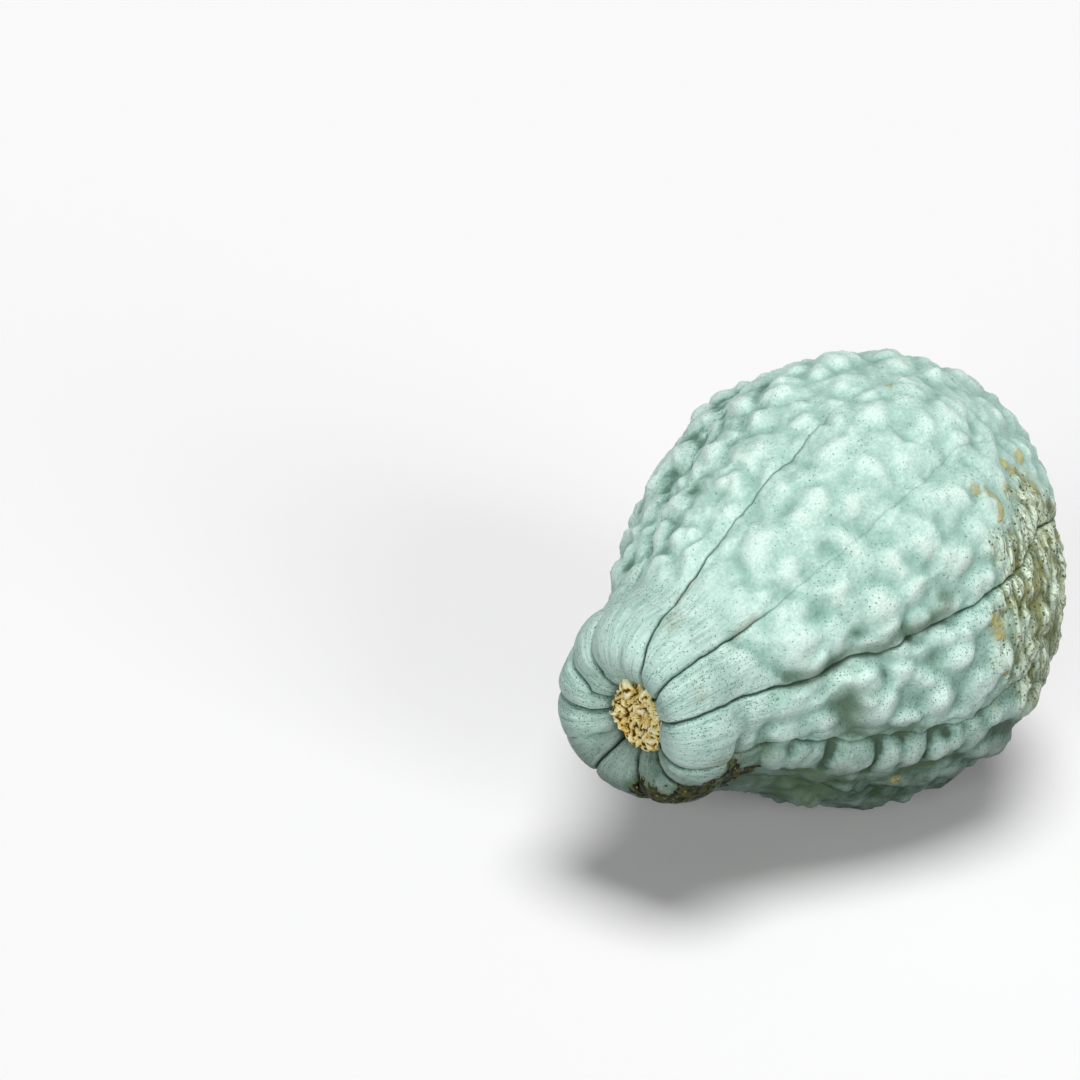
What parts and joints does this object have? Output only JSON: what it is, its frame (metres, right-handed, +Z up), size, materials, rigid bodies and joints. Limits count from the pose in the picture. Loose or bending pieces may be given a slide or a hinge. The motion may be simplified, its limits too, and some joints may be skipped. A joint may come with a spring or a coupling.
{
  "type": "blue hubbard squash",
  "caption": "Large pear-shaped winter squash lying on its side, with deep ribs, a warty blue-green rind, a blunt neck and a corky stem scar.",
  "frame": {"origin": "on the ground, under the middle of the fruit's bounding box", "axes": "+Z up; the fruit's length lies along X, with the neck and stem scar towards -X and the blossom end towards +X"},
  "size_m": [0.4126, 0.2828, 0.2896],
  "materials": {
    "rind": "pale blue-green rind with a satin waxy bloom, darker in the creases",
    "cork": "dry golden cork, cracked and matte"
  },
  "bodies": {
    "root": {"squash_body": "rind", "stem_scar": "cork"}
  },
  "joints": []
}
